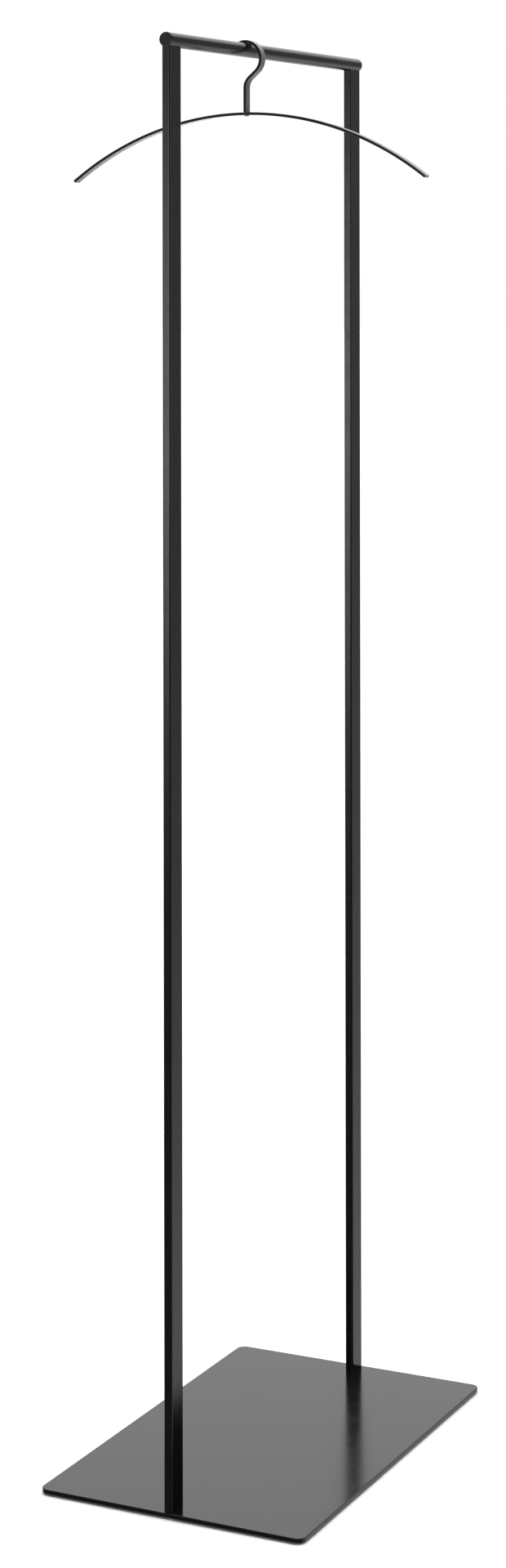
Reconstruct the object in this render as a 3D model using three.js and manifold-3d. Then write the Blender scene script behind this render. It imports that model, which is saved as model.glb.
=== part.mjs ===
// A valet stand of black coated steel. A flat base plate carries two slim uprights, one at each
// short edge. A round rail joins their tops, and a curved clothes hanger hooks over the rail.
//
// Units are millimetres. X runs along the hanger's arms, Y along the rail and Z up. The origin is
// on the floor, under the middle of the base plate. "Front" is the -Y end and "rear" the +Y end.

import * as THREE from "three";
import { mergeVertices } from "three/addons/utils/BufferGeometryUtils.js";
import Module from "manifold-3d";

const wasm = await Module();
wasm.setup();

// Base plate and the pads under it
const BASE_WIDTH = 318;
const BASE_LENGTH = 500;
const BASE_THICKNESS = 5;
const BASE_CORNER_RADIUS = 10;
const PAD_RADIUS = 12;
const PAD_THICKNESS = 2;
const PAD_INSET = 26; // from the plate's edges to the middle of a pad

// Uprights: flat steel tube, flush with the plate's short edges
const UPRIGHT_WIDTH = 10;
const UPRIGHT_DEPTH = 27;
const UPRIGHT_WALL = 1.5;
const UPRIGHT_CORNER_RADIUS = 2;

// Rail: round steel tube with a cap at each end, as long as the base plate
const RAIL_AXIS_HEIGHT = 1586;
const RAIL_RADIUS = 8;
const RAIL_WALL = 1.5;
const CAP_FLANGE = 2;
const CAP_SPIGOT = 4;
const CAP_CHAMFER = 0.6;
const RAIL_PLUG_LENGTH = 14;

// Steel blocks in the ends of the uprights, and the screws and studs that they hold
const FOOT_INSERT_LENGTH = 24;
const HEAD_INSERT_LENGTH = 22;
const INSERT_CORNER_RADIUS = 0.8;
const SCREW_RADIUS = 2.4;
const SCREW_HEAD_RADIUS = 4.6;
const SCREW_LENGTH = 24;
const SCREW_SPACING = 13;
const SCREW_SOCKET_FLATS = 3;
const SCREW_SOCKET_DEPTH = 1.8;
const SCREW_RECESS = 0.3; // from the plate's underside up to the screw head
const STUD_BELOW_AXIS = 27;
const STUD_ABOVE_AXIS = 4;

// Hanger: a hook bent from flat strip, riveted to a curved arm so that the arm can turn
const HANGER_Y = -53;
const STRIP_THICKNESS = 3.2;
const HOOK_WIDTH = 11;
const HOOK_RADIUS = 19.5; // to the middle of the strip
const HOOK_TIP_ANGLE = THREE.MathUtils.degToRad(162); // from +X, over the top
const NECK_RADIUS = 15; // to the middle of the strip
const NECK_TURN = THREE.MathUtils.degToRad(49);
const ARM_WIDTH = 11;
const ARM_RADIUS = 365; // to the middle of the strip
const ARM_HALF_SPAN = 220;
const ARM_BELOW_RAIL = 71.7; // from the rail's axis to the middle of the arm
const TENON_RADIUS = 1.4;
const TENON_HEAD_RADIUS = 2.1;
const TENON_HEAD_THICKNESS = 0.4;
const WASHER_RADIUS = 2.75;
const WASHER_THICKNESS = 0.5;

// Clearances
const RUNNING_GAP = 0.1; // between pieces that turn or slide on each other
const FIXED_GAP = 0.15; // between pieces that are pressed or screwed together
const COPE_GAP = 0.3; // between an upright's scooped top and the rail

// Heights and places that follow from the above
const PLATE_TOP = PAD_THICKNESS + BASE_THICKNESS;
const UPRIGHT_Y = BASE_LENGTH / 2 - UPRIGHT_DEPTH / 2;
const RAIL_TUBE_LENGTH = BASE_LENGTH - 2 * CAP_FLANGE;
const RAIL_BORE_RADIUS = RAIL_RADIUS - RAIL_WALL;
const HALF_STRIP = STRIP_THICKNESS / 2;
const HOOK_HEIGHT =
  RAIL_AXIS_HEIGHT + RAIL_RADIUS + RUNNING_GAP - (HOOK_RADIUS - HALF_STRIP);
const ARM_APEX_HEIGHT = RAIL_AXIS_HEIGHT - ARM_BELOW_RAIL;

const ROUND = 48; // sides of the rail and other large rounds
const SMALL_ROUND = 32; // sides of screws, studs and their holes

// ---- materials ----

const coatedSteel = () =>
  new THREE.MeshStandardMaterial({ color: 0x2b2b2c, roughness: 0.42, metalness: 0.3 });

const bareSteel = () =>
  new THREE.MeshStandardMaterial({ color: 0x9a9b9d, roughness: 0.35, metalness: 1 });

const blackRubber = () =>
  new THREE.MeshStandardMaterial({ color: 0x1f1f1f, roughness: 0.85, metalness: 0 });

// ---- solids ----

// A closed geometry, its corners shared, as a solid that can be joined or cut.
function solid(geometry) {
  const bare = geometry.clone();
  bare.deleteAttribute("normal");
  bare.deleteAttribute("uv");
  const merged = mergeVertices(bare, 1e-4);
  return new wasm.Manifold(
    new wasm.Mesh({
      numProp: 3,
      vertProperties: new Float32Array(merged.attributes.position.array),
      triVerts: new Uint32Array(merged.index.array),
    }),
  );
}

function geometryOf(manifold) {
  const mesh = manifold.getMesh();
  const geometry = new THREE.BufferGeometry();
  geometry.setAttribute("position", new THREE.BufferAttribute(mesh.vertProperties, 3));
  geometry.setIndex(new THREE.BufferAttribute(mesh.triVerts, 1));
  geometry.computeVertexNormals();
  return geometry;
}

function cut(geometry, ...tools) {
  const left = tools.reduce((rest, tool) => rest.subtract(solid(tool)), solid(geometry));
  return geometryOf(left);
}

function join(geometry, ...others) {
  const whole = others.reduce((sum, other) => sum.add(solid(other)), solid(geometry));
  return geometryOf(whole);
}

// An outline in the XY plane, raised from z = 0 to the given height.
function prism(shape, height, curveSegments = 8) {
  return new THREE.ExtrudeGeometry(shape, { depth: height, bevelEnabled: false, curveSegments });
}

// An outline in the XZ plane, given the width along Y and centred on y = 0.
function strip(shape, width, curveSegments) {
  return prism(shape, width, curveSegments)
    .translate(0, 0, -width / 2)
    .rotateX(Math.PI / 2);
}

// A profile of [radius, z] points, turned about the Z axis.
function turned(profile, segments) {
  const points = profile.map(([radius, z]) => new THREE.Vector2(radius, z));
  return new THREE.LatheGeometry(points, segments).rotateX(Math.PI / 2);
}

// A round bar from z = low to z = high.
function bar(radius, low, high, segments = SMALL_ROUND) {
  return new THREE.CylinderGeometry(radius, radius, high - low, segments)
    .rotateX(Math.PI / 2)
    .translate(0, 0, (low + high) / 2);
}

// The same bar laid along Y, from y = low to y = high.
function crossBar(radius, low, high, segments = ROUND) {
  return bar(radius, low, high, segments).rotateX(-Math.PI / 2);
}

// A rectangle with round corners, centred on the origin.
function roundedRectangle(width, length, radius, outline = new THREE.Shape()) {
  const x = width / 2 - radius;
  const y = length / 2 - radius;
  outline.absarc(x, y, radius, 0, Math.PI / 2);
  outline.absarc(-x, y, radius, Math.PI / 2, Math.PI);
  outline.absarc(-x, -y, radius, Math.PI, 1.5 * Math.PI);
  outline.absarc(x, -y, radius, 1.5 * Math.PI, 2 * Math.PI);
  return outline;
}

// ---- base ----

// Every screw's place in the plane of the base: two under each upright.
function screwPlaces() {
  const places = [];
  for (const end of [-1, 1])
    for (const step of [-0.5, 0.5])
      places.push([0, end * UPRIGHT_Y + step * SCREW_SPACING]);
  return places;
}

function padPlaces() {
  const x = BASE_WIDTH / 2 - PAD_INSET;
  const y = BASE_LENGTH / 2 - PAD_INSET;
  return { front_left: [-x, -y], front_right: [x, -y], rear_left: [-x, y], rear_right: [x, y] };
}

// The plate stands on z = 0 here. Its screw holes are countersunk from below.
function basePlate() {
  const plate = prism(
    roundedRectangle(BASE_WIDTH, BASE_LENGTH, BASE_CORNER_RADIUS),
    BASE_THICKNESS,
    10,
  );
  const mouth = SCREW_HEAD_RADIUS + 2 * COPE_GAP;
  const hole = SCREW_RADIUS + COPE_GAP;
  const countersink = [
    [0, -1],
    [mouth + 1, -1],
    [hole, mouth - hole],
    [hole, BASE_THICKNESS + 1],
    [0, BASE_THICKNESS + 1],
  ];
  const holes = screwPlaces().map(([x, y]) => turned(countersink, SMALL_ROUND).translate(x, y, 0));
  return cut(plate, ...holes);
}

// A countersunk socket screw, head down, with the head's face at z = 0.
function baseScrew() {
  const coneTop = SCREW_HEAD_RADIUS - SCREW_RADIUS;
  const chamfer = 0.6;
  const body = turned(
    [
      [0, 0],
      [SCREW_HEAD_RADIUS, 0],
      [SCREW_RADIUS, coneTop],
      [SCREW_RADIUS, SCREW_LENGTH - chamfer],
      [SCREW_RADIUS - chamfer, SCREW_LENGTH],
      [0, SCREW_LENGTH],
    ],
    SMALL_ROUND,
  );
  const socketRadius = SCREW_SOCKET_FLATS / Math.sqrt(3);
  return cut(body, bar(socketRadius, -1, SCREW_SOCKET_DEPTH, 6));
}

function basePad() {
  const edge = 0.4;
  return turned(
    [
      [0, 0],
      [PAD_RADIUS - edge, 0],
      [PAD_RADIUS, edge],
      [PAD_RADIUS, PAD_THICKNESS],
      [0, PAD_THICKNESS],
    ],
    ROUND,
  );
}

// ---- uprights, with z = 0 on the plate's top and the rail's axis at railZ ----

const railZ = RAIL_AXIS_HEIGHT - PLATE_TOP;

// The space that the rail takes over an upright, a little wider than the rail.
function railSpace() {
  return crossBar(RAIL_RADIUS + COPE_GAP, -UPRIGHT_DEPTH, UPRIGHT_DEPTH).translate(0, 0, railZ);
}

// A flat tube, open at both ends, its top scooped out to seat the rail.
function upright() {
  const outline = roundedRectangle(UPRIGHT_WIDTH, UPRIGHT_DEPTH, UPRIGHT_CORNER_RADIUS);
  const bore = roundedRectangle(
    UPRIGHT_WIDTH - 2 * UPRIGHT_WALL,
    UPRIGHT_DEPTH - 2 * UPRIGHT_WALL,
    UPRIGHT_CORNER_RADIUS - UPRIGHT_WALL,
    new THREE.Path(),
  );
  outline.holes.push(bore);
  return cut(prism(outline, railZ, 6), railSpace());
}

// A block that fills the flat tube from z = low to z = high.
function insertBlock(low, high) {
  const outline = roundedRectangle(
    UPRIGHT_WIDTH - 2 * UPRIGHT_WALL - 2 * FIXED_GAP,
    UPRIGHT_DEPTH - 2 * UPRIGHT_WALL - 2 * FIXED_GAP,
    INSERT_CORNER_RADIUS,
  );
  return prism(outline, high - low, 4).translate(0, 0, low);
}

// The lower block, tapped for the two base screws.
function footInsert() {
  const block = insertBlock(FIXED_GAP, FOOT_INSERT_LENGTH);
  const holes = [-0.5, 0.5].map((step) =>
    bar(SCREW_RADIUS + FIXED_GAP, -1, FOOT_INSERT_LENGTH + 1).translate(0, step * SCREW_SPACING, 0),
  );
  return cut(block, ...holes);
}

// The upper block, scooped like the tube around it and tapped for the rail's stud.
function headInsert() {
  const low = railZ - RAIL_RADIUS - HEAD_INSERT_LENGTH;
  const hole = bar(SCREW_RADIUS + FIXED_GAP, low - 1, railZ);
  return cut(insertBlock(low, railZ), railSpace(), hole);
}

// The stud that ties the upper block to the plug inside the rail.
function railStud() {
  const low = railZ - STUD_BELOW_AXIS;
  const high = railZ + STUD_ABOVE_AXIS;
  const chamfer = 0.5;
  return turned(
    [
      [0, low],
      [SCREW_RADIUS - chamfer, low],
      [SCREW_RADIUS, low + chamfer],
      [SCREW_RADIUS, high - chamfer],
      [SCREW_RADIUS - chamfer, high],
      [0, high],
    ],
    SMALL_ROUND,
  );
}

// ---- rail, with its axis along Y through the origin ----

// A round tube with a hole in its underside over each upright.
function rail() {
  const half = RAIL_TUBE_LENGTH / 2;
  const tube = turned(
    [
      [RAIL_BORE_RADIUS, -half],
      [RAIL_RADIUS, -half],
      [RAIL_RADIUS, half],
      [RAIL_BORE_RADIUS, half],
      [RAIL_BORE_RADIUS, -half],
    ],
    ROUND,
  ).rotateX(-Math.PI / 2);
  const holes = [-UPRIGHT_Y, UPRIGHT_Y].map((y) =>
    bar(SCREW_RADIUS + COPE_GAP, -RAIL_RADIUS - 1, 0).translate(0, y, 0),
  );
  return cut(tube, ...holes);
}

// A short round bar inside the rail, cross-drilled and tapped for the stud.
function railPlug() {
  const half = RAIL_PLUG_LENGTH / 2;
  const plug = crossBar(RAIL_BORE_RADIUS - COPE_GAP, -half, half);
  return cut(plug, bar(SCREW_RADIUS + FIXED_GAP, -RAIL_RADIUS, RAIL_RADIUS));
}

// A cap that closes the rail, flush with the upright: its flange faces +Y and ends at y = 0.
function railCap() {
  const spigot = RAIL_BORE_RADIUS - COPE_GAP;
  return turned(
    [
      [0, -CAP_FLANGE - CAP_SPIGOT],
      [spigot, -CAP_FLANGE - CAP_SPIGOT],
      [spigot, -CAP_FLANGE],
      [RAIL_RADIUS, -CAP_FLANGE],
      [RAIL_RADIUS, -CAP_CHAMFER],
      [RAIL_RADIUS - CAP_CHAMFER, 0],
      [0, 0],
    ],
    ROUND,
  ).rotateX(-Math.PI / 2);
}

// ---- hanger, in the plane y = 0 ----

// The hook's side view: a straight stem, a bend towards +X, a short slope, and a ring that
// passes over the rail and stops on its far side.
function hookOutline(stemBottom) {
  const ringStartX = HOOK_RADIUS * Math.sin(NECK_TURN + Math.PI / 2);
  const ringStartZ = HOOK_HEIGHT - HOOK_RADIUS * Math.sin(NECK_TURN);
  const bendEndX = NECK_RADIUS * (1 - Math.cos(NECK_TURN));
  const slopeRise = (ringStartX - bendEndX) / Math.tan(NECK_TURN);
  const bendZ = ringStartZ - slopeRise - NECK_RADIUS * Math.sin(NECK_TURN);

  const outline = new THREE.Shape();
  outline.moveTo(HALF_STRIP, stemBottom);
  outline.lineTo(HALF_STRIP, bendZ);
  outline.absarc(
    NECK_RADIUS, bendZ, NECK_RADIUS - HALF_STRIP, Math.PI, Math.PI - NECK_TURN, true,
  );
  outline.absarc(0, HOOK_HEIGHT, HOOK_RADIUS + HALF_STRIP, -NECK_TURN, HOOK_TIP_ANGLE);
  outline.absarc(0, HOOK_HEIGHT, HOOK_RADIUS - HALF_STRIP, HOOK_TIP_ANGLE, -NECK_TURN, true);
  outline.absarc(NECK_RADIUS, bendZ, NECK_RADIUS + HALF_STRIP, Math.PI - NECK_TURN, Math.PI);
  outline.lineTo(-HALF_STRIP, stemBottom);
  return outline;
}

// The hook, with a round tenon at the foot of its stem. The tenon passes through the arm and the
// washer, and its end is spread to hold them.
function hangerHook() {
  const stemBottom = ARM_APEX_HEIGHT + HALF_STRIP + RUNNING_GAP;
  const washerBottom = ARM_APEX_HEIGHT - HALF_STRIP - RUNNING_GAP - WASHER_THICKNESS;
  const headTop = washerBottom - RUNNING_GAP;
  const headBottom = headTop - TENON_HEAD_THICKNESS;
  return join(
    strip(hookOutline(stemBottom), HOOK_WIDTH, 40),
    bar(TENON_RADIUS, headTop - TENON_HEAD_THICKNESS / 2, stemBottom + HALF_STRIP),
    bar(TENON_HEAD_RADIUS, headBottom, headTop),
  );
}

// The arm: one shallow arc of strip, with a hole at its apex for the tenon.
function hangerArm() {
  const centreZ = ARM_APEX_HEIGHT - ARM_RADIUS;
  const reach = Math.asin(ARM_HALF_SPAN / ARM_RADIUS);
  const rightEnd = Math.PI / 2 - reach;
  const leftEnd = Math.PI / 2 + reach;
  const outline = new THREE.Shape();
  outline.absarc(0, centreZ, ARM_RADIUS + HALF_STRIP, rightEnd, leftEnd);
  outline.absarc(0, centreZ, ARM_RADIUS - HALF_STRIP, leftEnd, rightEnd, true);
  const hole = bar(
    TENON_RADIUS + RUNNING_GAP,
    ARM_APEX_HEIGHT - STRIP_THICKNESS,
    ARM_APEX_HEIGHT + STRIP_THICKNESS,
  );
  return cut(strip(outline, ARM_WIDTH, 64), hole);
}

function hangerWasher() {
  const high = ARM_APEX_HEIGHT - HALF_STRIP - RUNNING_GAP;
  const low = high - WASHER_THICKNESS;
  const bore = TENON_RADIUS + RUNNING_GAP;
  return turned(
    [
      [bore, low],
      [WASHER_RADIUS, low],
      [WASHER_RADIUS, high],
      [bore, high],
      [bore, low],
    ],
    SMALL_ROUND,
  );
}

// ---- assembly ----

function piece(name, geometry, material, position = [0, 0, 0]) {
  const mesh = new THREE.Mesh(geometry, material);
  mesh.name = name;
  mesh.position.set(...position);
  return mesh;
}

function base() {
  const group = new THREE.Group();
  group.add(piece("base_plate", basePlate(), coatedSteel(), [0, 0, PAD_THICKNESS]));
  for (const [place, [x, y]] of Object.entries(padPlaces()))
    group.add(piece(`base_pad_${place}`, basePad(), blackRubber(), [x, y, 0]));
  screwPlaces().forEach(([x, y], index) =>
    group.add(
      piece(`base_screw_${index + 1}`, baseScrew(), bareSteel(), [x, y, PAD_THICKNESS + SCREW_RECESS]),
    ),
  );
  return group;
}

// One upright with the pieces inside it, standing on the plate at the given end.
function uprightAssembly(name, end) {
  const group = new THREE.Group();
  group.position.set(0, end * UPRIGHT_Y, PLATE_TOP);
  group.add(
    piece(`upright_${name}`, upright(), coatedSteel()),
    piece(`foot_insert_${name}`, footInsert(), bareSteel()),
    piece(`head_insert_${name}`, headInsert(), bareSteel()),
    piece(`rail_stud_${name}`, railStud(), bareSteel()),
  );
  return group;
}

function railAssembly() {
  const group = new THREE.Group();
  group.position.z = RAIL_AXIS_HEIGHT;
  group.add(piece("rail", rail(), coatedSteel()));
  for (const [name, end] of [["front", -1], ["rear", 1]]) {
    const cap = piece(`rail_cap_${name}`, railCap(), coatedSteel(), [0, (end * BASE_LENGTH) / 2, 0]);
    cap.rotation.z = end < 0 ? Math.PI : 0;
    group.add(cap, piece(`rail_plug_${name}`, railPlug(), bareSteel(), [0, end * UPRIGHT_Y, 0]));
  }
  return group;
}

function hanger() {
  const group = new THREE.Group();
  group.position.y = HANGER_Y;
  group.add(
    piece("hanger_hook", hangerHook(), coatedSteel()),
    piece("hanger_arm", hangerArm(), coatedSteel()),
    piece("hanger_washer", hangerWasher(), coatedSteel()),
  );
  return group;
}

const valetStand = new THREE.Group();
valetStand.add(
  base(),
  uprightAssembly("front", -1),
  uprightAssembly("rear", 1),
  railAssembly(),
  hanger(),
);

export default valetStand;
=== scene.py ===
"""The looks of a valet stand: black coated steel on a pale studio floor.

Lengths are metres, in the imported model's frame. X runs along the hanger's arms, Y along the rail
and Z up, and the origin is on the floor under the middle of the base plate.
"""

import math

import bmesh
import bpy
from mathutils import Matrix, Vector


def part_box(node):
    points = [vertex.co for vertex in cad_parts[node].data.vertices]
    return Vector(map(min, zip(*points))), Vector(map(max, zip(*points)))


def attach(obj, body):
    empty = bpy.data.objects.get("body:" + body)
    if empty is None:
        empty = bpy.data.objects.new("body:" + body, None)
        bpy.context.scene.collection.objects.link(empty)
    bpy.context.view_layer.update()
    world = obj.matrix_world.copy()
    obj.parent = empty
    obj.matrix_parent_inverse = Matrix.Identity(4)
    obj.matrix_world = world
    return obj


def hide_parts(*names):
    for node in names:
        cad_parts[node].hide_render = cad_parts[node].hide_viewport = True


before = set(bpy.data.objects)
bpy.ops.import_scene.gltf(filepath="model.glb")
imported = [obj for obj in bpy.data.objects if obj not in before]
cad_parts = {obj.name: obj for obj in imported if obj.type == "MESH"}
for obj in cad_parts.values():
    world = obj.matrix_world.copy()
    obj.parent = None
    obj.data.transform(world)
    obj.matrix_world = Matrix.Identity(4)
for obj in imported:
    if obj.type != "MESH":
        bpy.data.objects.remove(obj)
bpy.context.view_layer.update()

MM = 0.001

# Details that the boxes of the CAD pieces don't give
PLATE_EDGE = 0.6 * MM
PLATE_CORNER_RADIUS = 10 * MM
UPRIGHT_CORNER_RADIUS = 2 * MM
UPRIGHT_WALL = 1.5 * MM
SEAT_GAP = 0.05 * MM  # between an upright's scooped top and the rail
RAIL_WALL = 1.5 * MM
CAP_EDGE = 0.6 * MM
CAP_FLANGE = 2 * MM
STRIP_THICKNESS = 3.2 * MM
STRIP_EDGE = 0.45 * MM
NECK_RADIUS = 15 * MM
NECK_TURN = math.radians(49)
HOOK_TIP_ANGLE = math.radians(162)
ARM_RADIUS = 365 * MM
TENON_RADIUS = 1.4 * MM
TENON_HEAD_RADIUS = 2.1 * MM
TENON_HEAD_THICKNESS = 0.4 * MM
TENON_GAP = 0.1 * MM
SMALL_EDGE = 0.15 * MM
SCREW_RADIUS = 2.4 * MM
SCREW_HOLE_RADIUS = 2.7 * MM
SCREW_SOCKET_RADIUS = 1.73 * MM
SCREW_SOCKET_DEPTH = 1.8 * MM
SCREW_RECESS = 0.3 * MM  # from the plate's underside up to the screw head
SPIGOT_GAP = 0.3 * MM  # between a rail cap's spigot and the rail's bore
PAD_EDGE = 0.5 * MM
PAD_GROOVE = (6 * MM, 9 * MM, 0.5 * MM)  # inner radius, outer radius, depth

EDGE_STEPS = 5  # faces round a small edge
CORNER_STEPS = 16  # faces round a corner of the plate
ROUND = 96  # faces round the rail
SMALL_ROUND = 48  # faces round screws, pads and holes
BEND_STEP = 1.2 * MM  # between two sections of a bent strip
SHARP_ANGLE = math.radians(40)


# ---- mesh making ----

def skin(name, rings, loop=False):
    """A closed mesh over rings of points, capped at both ends, or running back to its first ring."""
    count = len(rings[0])
    links = [(ring, ring + 1) for ring in range(len(rings) - 1)]
    if loop:
        links.append((len(rings) - 1, 0))
    faces = [
        (low * count + i, low * count + (i + 1) % count, high * count + (i + 1) % count, high * count + i)
        for low, high in links
        for i in range(count)
    ]
    if not loop:
        faces.append(tuple(range(count)))
        faces.append(tuple(range((len(rings) - 1) * count, len(rings) * count)))
    mesh = bpy.data.meshes.new(name)
    mesh.from_pydata([point for ring in rings for point in ring], [], faces)
    outward = bmesh.new()
    outward.from_mesh(mesh)
    bmesh.ops.recalc_face_normals(outward, faces=outward.faces)
    outward.to_mesh(mesh)
    outward.free()
    piece = bpy.data.objects.new(name, mesh)
    bpy.context.scene.collection.objects.link(piece)
    return piece


def combine(piece, tool, operation):
    """Cuts the tool out of the piece, or joins it on, and removes the tool."""
    modifier = piece.modifiers.new(operation, "BOOLEAN")
    modifier.operation = operation
    modifier.object = tool
    modifier.solver = "EXACT"
    evaluated = piece.evaluated_get(bpy.context.evaluated_depsgraph_get())
    piece.data = bpy.data.meshes.new_from_object(evaluated)
    piece.modifiers.clear()
    bpy.data.objects.remove(tool)
    return piece


def finish(piece, material, body, node):
    """Gives the piece its material, shades it smooth between its sharp edges, hangs it on its body and
    hides the CAD piece that it stands in for.
    """
    piece.data.materials.clear()
    piece.data.materials.append(material)
    piece.data.shade_smooth()
    piece.data.set_sharp_from_angle(angle=SHARP_ANGLE)
    normals = piece.modifiers.new("normals", "WEIGHTED_NORMAL")
    normals.keep_sharp = True
    normals.weight = 100
    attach(piece, body)
    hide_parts(node)
    return piece


def rounded_corner(corner, before, after, radius, steps):
    """Points on the arc that rounds a corner between its two neighbours."""
    to_before = (before - corner).normalized()
    to_after = (after - corner).normalized()
    half = to_before.angle(to_after) / 2
    centre = corner + (to_before + to_after).normalized() * radius / math.sin(half)
    start = corner + to_before * radius / math.tan(half) - centre
    end = corner + to_after * radius / math.tan(half) - centre
    return [centre + start.lerp(end, i / steps).normalized() * radius for i in range(steps + 1)]


def profile(corners, steps=EDGE_STEPS):
    """An open outline through corners of (x, y, radius), each rounded to its radius."""
    places = [Vector(corner[:2]) for corner in corners]
    points = []
    for i, (x, y, radius) in enumerate(corners):
        if radius:
            points += rounded_corner(places[i], places[i - 1], places[i + 1], radius, steps)
        else:
            points.append(places[i])
    return points


def rectangle(width, length, radius, steps):
    """A closed outline: a rectangle with round corners, centred on the origin."""
    x, y = width / 2, length / 2
    places = [Vector(place) for place in ((x, -y), (x, y), (-x, y), (-x, -y))]
    points = []
    for i, place in enumerate(places):
        points += rounded_corner(place, places[i - 1], places[(i + 1) % 4], radius, steps)
    return points


def rounded_ends(length, edge):
    """(inset, distance) stations from 0 to length, for a body whose two ends have rounded edges."""
    angles = [math.pi / 2 * i / EDGE_STEPS for i in range(EDGE_STEPS + 1)]
    start = [(edge * (1 - math.sin(angle)), edge * (1 - math.cos(angle))) for angle in angles]
    return start + [(inset, length - distance) for inset, distance in reversed(start)]


def turned(name, outline, segments=SMALL_ROUND, loop=False):
    """An outline of (radius, z) points, turned about the Z axis."""
    turns = [math.tau * i / segments for i in range(segments)]
    rings = [
        [Vector((radius * math.cos(turn), radius * math.sin(turn), z)) for turn in turns]
        for radius, z in outline
    ]
    return skin(name, rings, loop)


def placed(piece, position, turn=Matrix.Identity(4)):
    """Moves the piece's mesh, so that its object stays at the origin."""
    piece.data.transform(Matrix.Translation(position) @ turn)
    return piece


def rod(radius, low, high, x, y, segments=SMALL_ROUND):
    """A plain round cutter along Z."""
    return placed(turned("rod", [(radius, low), (radius, high)], segments), (x, y, 0))


def middle(node):
    """The middle of a node's box."""
    low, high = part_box(node)
    return (low + high) / 2


def size(node):
    """The lengths of a node's box along X, Y and Z."""
    low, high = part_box(node)
    return high - low


# ---- materials ----

NOISE_LOW, NOISE_HIGH = 0.3, 0.7  # where most of a noise texture's values lie
SHEEN_ROUGHNESS = 0.39
GLOSS_SPREAD = 0.02  # how far the coats' roughness varies each way


class Shader:
    """A principled material with its texture nodes."""

    def __init__(self, name, metallic=0.0, ior=1.5):
        self.material = bpy.data.materials.new(name)
        self.material.use_nodes = True
        self.nodes = self.material.node_tree.nodes
        self.links = self.material.node_tree.links
        self.surface = self.nodes["Principled BSDF"]
        self.surface.inputs["Metallic"].default_value = metallic
        self.surface.inputs["IOR"].default_value = ior
        self.place = self.nodes.new("ShaderNodeTexCoord").outputs["Object"]
        self.bumps = None

    def noise(self, size, detail=3, stretch=(1, 1, 1)):
        """Noise whose features are about this size, stretched along the axes."""
        mapping = self.nodes.new("ShaderNodeMapping")
        mapping.inputs["Scale"].default_value = [1 / length for length in stretch]
        texture = self.nodes.new("ShaderNodeTexNoise")
        texture.inputs["Scale"].default_value = 1 / size
        texture.inputs["Detail"].default_value = detail
        self.links.new(self.place, mapping.inputs["Vector"])
        self.links.new(mapping.outputs["Vector"], texture.inputs["Vector"])
        return texture.outputs["Fac"]

    def colour(self, value, low, high):
        """A base colour that goes from low to high with the noise."""
        ramp = self.nodes.new("ShaderNodeValToRGB")
        ramp.color_ramp.elements[0].position = NOISE_LOW
        ramp.color_ramp.elements[0].color = (*low, 1)
        ramp.color_ramp.elements[1].position = NOISE_HIGH
        ramp.color_ramp.elements[1].color = (*high, 1)
        self.links.new(value, ramp.inputs["Fac"])
        self.links.new(ramp.outputs["Color"], self.surface.inputs["Base Color"])

    def roughness(self, value, low, high):
        """A roughness that goes from low to high with the noise."""
        spread = self.nodes.new("ShaderNodeMapRange")
        spread.inputs["From Min"].default_value = NOISE_LOW
        spread.inputs["From Max"].default_value = NOISE_HIGH
        spread.inputs["To Min"].default_value = low
        spread.inputs["To Max"].default_value = high
        self.links.new(value, spread.inputs["Value"])
        self.links.new(spread.outputs["Result"], self.surface.inputs["Roughness"])

    def bump(self, value, height):
        """Adds relief of this height. Several bumps build on each other."""
        bump = self.nodes.new("ShaderNodeBump")
        bump.inputs["Distance"].default_value = height
        self.links.new(value, bump.inputs["Height"])
        if self.bumps:
            self.links.new(self.bumps, bump.inputs["Normal"])
        self.bumps = bump.outputs["Normal"]
        self.links.new(self.bumps, self.surface.inputs["Normal"])


def powder_coat(name, colour, roughness, ior=1.5, sheen=0.0):
    """Black powder coat: a low orange peel, a fine grain and slightly uneven gloss.

    Sheen makes a coat paler where it is seen at a low angle.
    """
    shader = Shader(name, ior=ior)
    shader.surface.inputs["Sheen Weight"].default_value = sheen
    shader.surface.inputs["Sheen Roughness"].default_value = SHEEN_ROUGHNESS
    shader.colour(shader.noise(30 * MM), [0.8 * c for c in colour], [1.2 * c for c in colour])
    gloss = shader.noise(12 * MM)
    shader.roughness(gloss, roughness - GLOSS_SPREAD, roughness + GLOSS_SPREAD)
    shader.bump(shader.noise(1.6 * MM, detail=1), 0.004 * MM)
    shader.bump(shader.noise(0.35 * MM, detail=2), 0.001 * MM)
    return shader.material


def plated_steel():
    """Zinc-plated steel with fine lines along its length."""
    shader = Shader("plated_steel", metallic=1.0)
    lines = shader.noise(0.3 * MM, stretch=(1, 1, 12))
    shader.colour(shader.noise(4 * MM), (0.48, 0.48, 0.49), (0.6, 0.6, 0.6))
    shader.roughness(lines, 0.28, 0.42)
    shader.bump(lines, 0.004 * MM)
    return shader.material


def rubber():
    """Black moulded rubber with a matt grain."""
    shader = Shader("pad_rubber", ior=1.45)
    grain = shader.noise(0.4 * MM, detail=4)
    shader.colour(shader.noise(5 * MM), (0.012, 0.012, 0.012), (0.022, 0.022, 0.021))
    shader.roughness(grain, 0.72, 0.9)
    shader.bump(grain, 0.02 * MM)
    return shader.material


STAND_COAT = powder_coat("stand_coat", (0.002, 0.002, 0.0021), 0.17)
HANGER_COAT = powder_coat("hanger_coat", (0.0025, 0.0025, 0.0026), 0.24, ior=1.2, sheen=1.0)
STEEL = plated_steel()
RUBBER = rubber()


# ---- base ----

def screw_nodes():
    """The names of the screws under the plate."""
    return [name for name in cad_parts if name.startswith("base_screw")]


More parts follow.
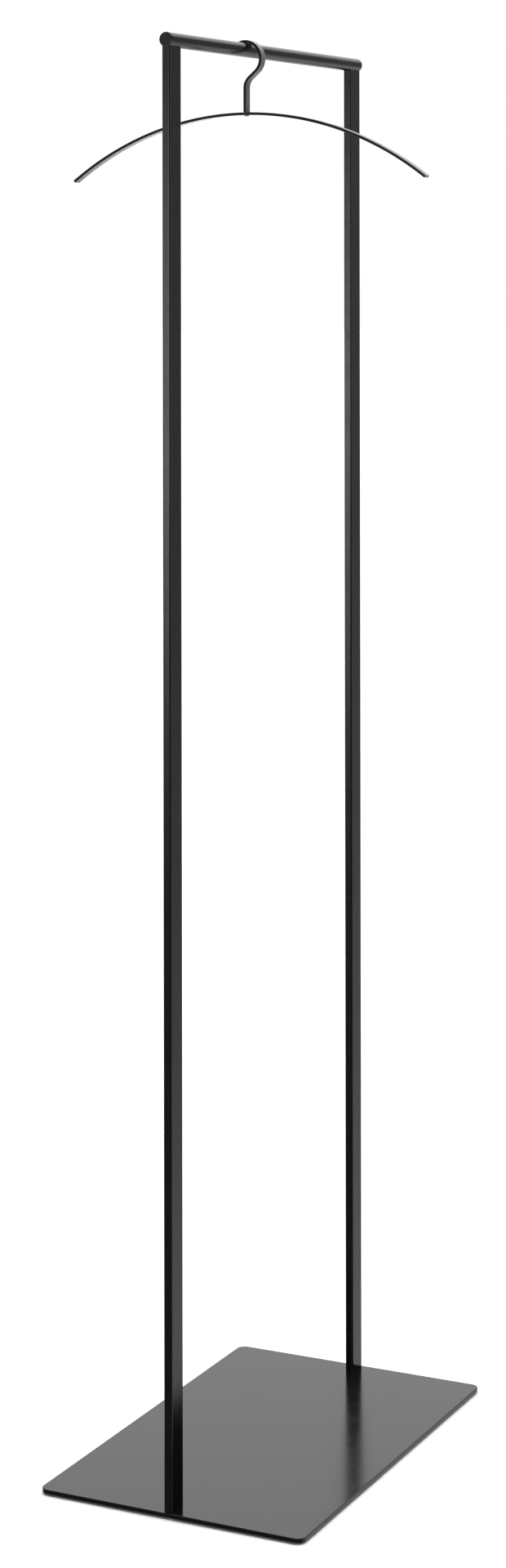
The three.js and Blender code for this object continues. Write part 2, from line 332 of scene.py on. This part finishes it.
def base_plate():
    """The plate, its edges slightly rounded, with the screws' countersunk holes."""
    low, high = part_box("base_plate")
    width, length, thickness = high - low
    rings = []
    for inset, height in rounded_ends(thickness, PLATE_EDGE):
        outline = rectangle(
            width - 2 * inset, length - 2 * inset, PLATE_CORNER_RADIUS - inset, CORNER_STEPS
        )
        rings.append([Vector((x, y, low.z + height)) for x, y in outline])
    plate = skin("base_plate_coated", rings)
    for name in screw_nodes():
        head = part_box(name)[0].z
        mouth = size(name).x / 2 + 2 * (SCREW_HOLE_RADIUS - SCREW_RADIUS)
        outline = [
            (mouth, low.z - MM),
            (mouth, head - SCREW_RECESS),
            (SCREW_HOLE_RADIUS, head - SCREW_RECESS + mouth - SCREW_HOLE_RADIUS),
            (SCREW_HOLE_RADIUS, high.z + MM),
        ]
        place = middle(name)
        combine(plate, placed(turned("countersink", outline), (place.x, place.y, 0)), "DIFFERENCE")
    finish(plate, STAND_COAT, "stand", "base_plate")


def base_pad(node):
    """A moulded rubber foot with a shallow ring groove in its underside."""
    low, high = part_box(node)
    radius = (high.x - low.x) / 2
    inner, outer, depth = PAD_GROOVE
    outline = profile([
        (inner, low.z, 0),
        (inner, low.z + depth, 0),
        (outer, low.z + depth, 0),
        (outer, low.z, 0),
        (radius, low.z, PAD_EDGE),
        (radius, high.z, 0),
        (inner, high.z, 0),
    ])
    place = middle(node)
    pad = placed(turned(f"{node}_moulded", outline), (place.x, place.y, 0))
    finish(pad, RUBBER, "stand", node)


def base_screw(node):
    """A countersunk screw, head down, with a hexagon socket."""
    low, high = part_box(node)
    head = (high.x - low.x) / 2
    place = middle(node)
    outline = profile([
        (head - 2 * SMALL_EDGE, low.z, 0),
        (head, low.z, SMALL_EDGE),
        (SCREW_RADIUS, low.z + head - SCREW_RADIUS, SMALL_EDGE),
        (SCREW_RADIUS, high.z, 2 * SMALL_EDGE),
        (SCREW_RADIUS - 3 * SMALL_EDGE, high.z, 0),
    ])
    screw = placed(turned(f"{node}_turned", outline), (place.x, place.y, 0))
    socket = rod(SCREW_SOCKET_RADIUS, low.z - MM, low.z + SCREW_SOCKET_DEPTH, place.x, place.y, 6)
    combine(screw, socket, "DIFFERENCE")
    finish(screw, STEEL, "stand", node)


# ---- uprights and rail ----

def upright(node):
    """A flat tube whose top is scooped to fit round the rail."""
    low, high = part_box(node)
    place = middle(node)
    rail_axis = middle("rail").z
    seat_radius = size("rail").z / 2 + SEAT_GAP
    width, depth = high.x - low.x, high.y - low.y

    def ring(inset, at_top):
        corner = UPRIGHT_CORNER_RADIUS - inset
        outline = rectangle(width - 2 * inset, depth - 2 * inset, corner, 2 * EDGE_STEPS)
        tops = [rail_axis - math.sqrt(seat_radius**2 - x**2) for x, y in outline]
        return [
            Vector((x, place.y + y, top if at_top else low.z))
            for (x, y), top in zip(outline, tops)
        ]

    rings = [ring(0, False), ring(0, True), ring(UPRIGHT_WALL, True), ring(UPRIGHT_WALL, False)]
    finish(skin(f"{node}_coated", rings, loop=True), STAND_COAT, "stand", node)


def rail():
    """The round tube, with a hole over each upright for the stud."""
    low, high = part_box("rail")
    radius = (high.z - low.z) / 2
    half = (high.y - low.y) / 2
    inner_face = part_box("upright_rear")[0].y
    stations = [-half, -inner_face, inner_face, half]
    outline = [(radius, y) for y in stations] + [(radius - RAIL_WALL, y) for y in reversed(stations)]
    tube = turned("rail_coated", outline, ROUND, loop=True)
    placed(tube, middle("rail"), Matrix.Rotation(-math.pi / 2, 4, "X"))
    for node in ("rail_stud_front", "rail_stud_rear"):
        hole = rod(SCREW_HOLE_RADIUS, low.z - MM, middle("rail").z, 0, middle(node).y)
        combine(tube, hole, "DIFFERENCE")
    finish(tube, STAND_COAT, "stand", "rail")


def rail_cap(node, end):
    """A flat cap with a softened rim and a spigot inside the rail."""
    low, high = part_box(node)
    radius = (high.x - low.x) / 2
    depth = high.y - low.y
    spigot = radius - RAIL_WALL - SPIGOT_GAP
    outline = profile([
        (spigot - SMALL_EDGE * 2, -depth, 0),
        (spigot, -depth, SMALL_EDGE),
        (spigot, -CAP_FLANGE, 0),
        (radius, -CAP_FLANGE, 0),
        (radius, 0, CAP_EDGE),
        (radius - 2 * CAP_EDGE, 0, 0),
    ])
    cap = turned(f"{node}_coated", outline, ROUND)
    outer_face = high.y if end > 0 else low.y
    placed(cap, (0, outer_face, middle("rail").z), Matrix.Rotation(-end * math.pi / 2, 4, "X"))
    finish(cap, STAND_COAT, "stand", node)


# ---- hanger ----

def strip(name, path, width, plane_y):
    """A flat strip with rounded edges, swept along (x, z, heading, inset) stations at one y."""
    rings = []
    for x, z, heading, inset in path:
        # The corners of an inset section keep a little of their rounding
        section = rectangle(
            STRIP_THICKNESS - 2 * inset, width - 2 * inset, STRIP_EDGE - 0.9 * inset, EDGE_STEPS
        )
        across = Vector((-math.sin(heading), 0, math.cos(heading)))
        centre = Vector((x, plane_y, z))
        rings.append([centre + across * u + Vector((0, v, 0)) for u, v in section])
    return skin(name, rings)


def line_stations(start, heading, length):
    """The two ends of a straight stretch."""
    x, z = start
    end = (x + length * math.cos(heading), z + length * math.sin(heading))
    return [(x, z, heading), (*end, heading)]


def arc_stations(centre, radius, first, last):
    """Stations round a centre, from the angle first to the angle last."""
    steps = math.ceil(abs(last - first) * radius / BEND_STEP)
    side = math.copysign(math.pi / 2, last - first)
    angles = [first + (last - first) * i / steps for i in range(steps + 1)]
    x, z = centre
    return [(x + radius * math.cos(a), z + radius * math.sin(a), a + side) for a in angles]


def with_soft_ends(stations):
    """Adds the stations that round the edges of the strip's two ends."""
    first, last = stations[0], stations[-1]
    ends = rounded_ends(2 * STRIP_EDGE, STRIP_EDGE)[: EDGE_STEPS + 1]

    def moved(station, inset, distance):
        x, z, heading = station
        return (x + distance * math.cos(heading), z + distance * math.sin(heading), heading, inset)

    at_start = [moved(first, inset, distance) for inset, distance in ends]
    at_end = [moved(last, inset, -distance) for inset, distance in reversed(ends)]
    between = [(*station, 0) for station in stations[1:-1]]
    return at_start + between + at_end


def hook_path(stem_bottom):
    """Up the stem, through the neck and round the ring that passes over the rail."""
    ring_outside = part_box("hanger_hook")[1]
    radius = ring_outside.x - STRIP_THICKNESS / 2
    height = ring_outside.z - ring_outside.x
    ring_start_x = radius * math.cos(NECK_TURN)
    ring_start_z = height - radius * math.sin(NECK_TURN)
    bend_end_x = NECK_RADIUS * (1 - math.cos(NECK_TURN))
    slope_rise = (ring_start_x - bend_end_x) / math.tan(NECK_TURN)
    bend_z = ring_start_z - slope_rise - NECK_RADIUS * math.sin(NECK_TURN)
    stem = line_stations((0, stem_bottom), math.pi / 2, bend_z - stem_bottom)
    neck = arc_stations((NECK_RADIUS, bend_z), NECK_RADIUS, math.pi, math.pi - NECK_TURN)
    ring = arc_stations((0, height), radius, -NECK_TURN, HOOK_TIP_ANGLE)
    return with_soft_ends(stem[:1] + neck + ring)


def hanger_hook():
    """The hook, with the tenon that passes through the arm and the washer to its spread head."""
    low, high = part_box("hanger_hook")
    plane_y = middle("hanger_hook").y
    stem_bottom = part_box("hanger_arm")[1].z + TENON_GAP
    hook = strip("hanger_hook_coated", hook_path(stem_bottom), high.y - low.y, plane_y)
    tenon = turned("tenon", profile([
        (TENON_HEAD_RADIUS - 2 * SMALL_EDGE, low.z, 0),
        (TENON_HEAD_RADIUS, low.z, SMALL_EDGE),
        (TENON_HEAD_RADIUS, low.z + TENON_HEAD_THICKNESS, 0),
        (TENON_RADIUS, low.z + TENON_HEAD_THICKNESS, 0),
        (TENON_RADIUS, stem_bottom + STRIP_THICKNESS, 0),
    ]))
    combine(hook, placed(tenon, (0, plane_y, 0)), "UNION")
    finish(hook, HANGER_COAT, "hook", "hanger_hook")


def hanger_arm():
    """One shallow arc of strip, with the tenon's hole at its apex."""
    low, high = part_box("hanger_arm")
    plane_y = middle("hanger_arm").y
    centre = (0, high.z - STRIP_THICKNESS / 2 - ARM_RADIUS)
    reach = math.asin(high.x / (ARM_RADIUS + STRIP_THICKNESS / 2))
    stations = arc_stations(centre, ARM_RADIUS, math.pi / 2 + reach, math.pi / 2 - reach)
    arm = strip("hanger_arm_coated", with_soft_ends(stations), high.y - low.y, plane_y)
    hole = rod(TENON_RADIUS + TENON_GAP, high.z - 2 * STRIP_THICKNESS, high.z + MM, 0, plane_y)
    combine(arm, hole, "DIFFERENCE")
    finish(arm, HANGER_COAT, "arm", "hanger_arm")


def hanger_washer():
    """The washer between the arm and the tenon's head."""
    low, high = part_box("hanger_washer")
    place = middle("hanger_washer")
    radius = (high.x - low.x) / 2
    bore = TENON_RADIUS + TENON_GAP
    outline = profile([
        (bore, low.z, 0),
        (radius, low.z, SMALL_EDGE),
        (radius, high.z, SMALL_EDGE),
        (bore, high.z, 0),
    ])
    washer = placed(turned("hanger_washer_coated", outline, loop=True), (place.x, place.y, 0))
    finish(washer, HANGER_COAT, "hook", "hanger_washer")


# ---- stage, light and camera ----

FLOOR_RADIUS = 60
FLOOR_THICKNESS = 10 * MM
BACKDROP_HEIGHT = 40
SOFTBOX_PLACE = (-0.33, -3.18, 1.28)
CAMERA_PLACE = (1.5465, -3.2095, 1.3455)
CAMERA_HEADING = math.radians(25.99)  # from +Y towards -X
CAMERA_ROLL = math.radians(-0.087)
CAMERA_LENS = 71.56
CAMERA_SHIFT = -0.3319  # down, in frame heights


def disc_ring(radius, height, segments=ROUND):
    """Points round a level circle."""
    turns = [math.tau * i / segments for i in range(segments)]
    return [Vector((radius * math.cos(turn), radius * math.sin(turn), height)) for turn in turns]


def studio_floor():
    """A pale floor, left out of reflections, so that the steel mirrors the light round it instead."""
    floor = skin("floor", [disc_ring(FLOOR_RADIUS, -FLOOR_THICKNESS), disc_ring(FLOOR_RADIUS, 0)])
    shader = Shader("floor_paper")
    shader.colour(shader.noise(0.5), (0.86, 0.86, 0.86), (0.88, 0.88, 0.88))
    shader.surface.inputs["Roughness"].default_value = 0.9
    shader.surface.inputs["Specular IOR Level"].default_value = 0.0
    floor.data.materials.append(shader.material)
    floor.visible_glossy = False


def backdrop():
    """A white wall far behind the floor, seen by the camera only."""
    rings = [disc_ring(FLOOR_RADIUS - 1, -1), disc_ring(FLOOR_RADIUS - 1, BACKDROP_HEIGHT)]
    wall = skin("backdrop", rings)
    material = bpy.data.materials.new("backdrop_white")
    material.use_nodes = True
    surface = material.node_tree.nodes["Principled BSDF"]
    surface.inputs["Base Color"].default_value = (0, 0, 0, 1)
    surface.inputs["Emission Color"].default_value = (1, 1, 1, 1)
    surface.inputs["Emission Strength"].default_value = 1.0
    wall.data.materials.append(material)
    wall.visible_diffuse = False
    wall.visible_glossy = False
    wall.visible_shadow = False


def heading(azimuth, elevation):
    """A direction, its azimuth in degrees from +Y towards +X and its elevation above the floor."""
    azimuth, elevation = math.radians(azimuth), math.radians(elevation)
    across = math.cos(elevation)
    return Vector((math.sin(azimuth) * across, math.cos(azimuth) * across, math.sin(elevation)))


def studio_world():
    """Light from all round: bright from behind, dim from the front, with a few soft patches."""
    world = bpy.data.worlds.new("studio")
    bpy.context.scene.world = world
    world.use_nodes = True
    nodes, links = world.node_tree.nodes, world.node_tree.links
    direction = nodes.new("ShaderNodeTexCoord").outputs["Generated"]
    background = nodes["Background"]

    def along(axis, start, end, low, high):
        """A brightness that goes from low to high as the direction turns towards the axis."""
        dot = nodes.new("ShaderNodeVectorMath")
        dot.operation = "DOT_PRODUCT"
        dot.inputs[1].default_value = axis
        ramp = nodes.new("ShaderNodeMapRange")
        ramp.interpolation_type = "SMOOTHSTEP"
        for socket, value in zip(ramp.inputs[1:5], (start, end, low, high)):
            socket.default_value = value
        links.new(direction, dot.inputs[0])
        links.new(dot.outputs["Value"], ramp.inputs["Value"])
        return ramp.outputs["Result"]

    def both(operation, first, second):
        math_node = nodes.new("ShaderNodeMath")
        math_node.operation = operation
        links.new(first, math_node.inputs[0])
        links.new(second, math_node.inputs[1])
        return math_node.outputs["Value"]

    def cosine(degrees):
        return math.cos(math.radians(degrees))

    # A bright half behind the stand, dimmer low down
    rear = along(heading(0, 0), -0.4, 0.4, 0.18, 1.2)
    ground = along(heading(0, -90), 0.0, cosine(74), 1.0, 0.65)
    # Two dark patches in it, which the right-hand faces of the uprights mirror
    shade = along(heading(32, 6), cosine(30), cosine(10), 1.0, 0.2)
    flag = along(heading(32, 24), cosine(13), cosine(8), 1.0, 0.0)
    # A bright patch overhead for the floor, and one that the front faces mirror
    overhead = along(heading(0, 90), cosine(50), cosine(25), 0.0, 2.0)
    window = along(heading(206, -2.8), cosine(6.5), 1.0, 0.0, 3.5)
    surround = both("MULTIPLY", both("MULTIPLY", rear, ground), both("MULTIPLY", shade, flag))
    total = both("ADD", both("ADD", surround, overhead), window)
    links.new(total, background.inputs["Strength"])
    background.inputs["Color"].default_value = (1, 1, 1, 1)


def softbox(name, place, target, width, height, power):
    """A rectangular lamp that the camera doesn't see, facing the target."""
    lamp = bpy.data.lights.new(name, "AREA")
    lamp.shape = "RECTANGLE"
    lamp.size = width
    lamp.size_y = height
    lamp.energy = power
    box = bpy.data.objects.new(name, lamp)
    bpy.context.scene.collection.objects.link(box)
    box.location = place
    box.rotation_euler = (Vector(target) - Vector(place)).to_track_quat("-Z", "Y").to_euler()
    box.visible_camera = False


def camera():
    """A level camera beside the front end, its frame shifted down to take in the base."""
    data = bpy.data.cameras.new("camera")
    data.sensor_width = 36
    data.lens = CAMERA_LENS
    data.shift_y = CAMERA_SHIFT
    data.clip_end = 200
    view = bpy.data.objects.new("camera", data)
    bpy.context.scene.collection.objects.link(view)
    view.location = CAMERA_PLACE
    aim = Matrix.Rotation(CAMERA_HEADING, 4, "Z") @ Matrix.Rotation(math.pi / 2, 4, "X")
    roll = Matrix.Rotation(CAMERA_ROLL, 4, "Z")
    view.rotation_euler = (aim @ roll).to_euler()
    bpy.context.scene.camera = view


# ---- the scene ----

base_plate()
for node in list(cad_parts):
    if node.startswith("base_pad"):
        base_pad(node)
    elif node.startswith("base_screw"):
        base_screw(node)
    elif node.startswith("upright"):
        upright(node)
    elif node.startswith(("foot_insert", "head_insert", "rail_stud", "rail_plug")):
        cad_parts[node].material_slots[0].material = STEEL
rail()
rail_cap("rail_cap_front", -1)
rail_cap("rail_cap_rear", 1)
hanger_hook()
hanger_arm()
hanger_washer()

studio_floor()
backdrop()
studio_world()
softbox("front_softbox", SOFTBOX_PLACE, (0, 0, SOFTBOX_PLACE[2]), width=1.4, height=0.85, power=14)
camera()
bpy.context.scene.view_settings.view_transform = "Standard"
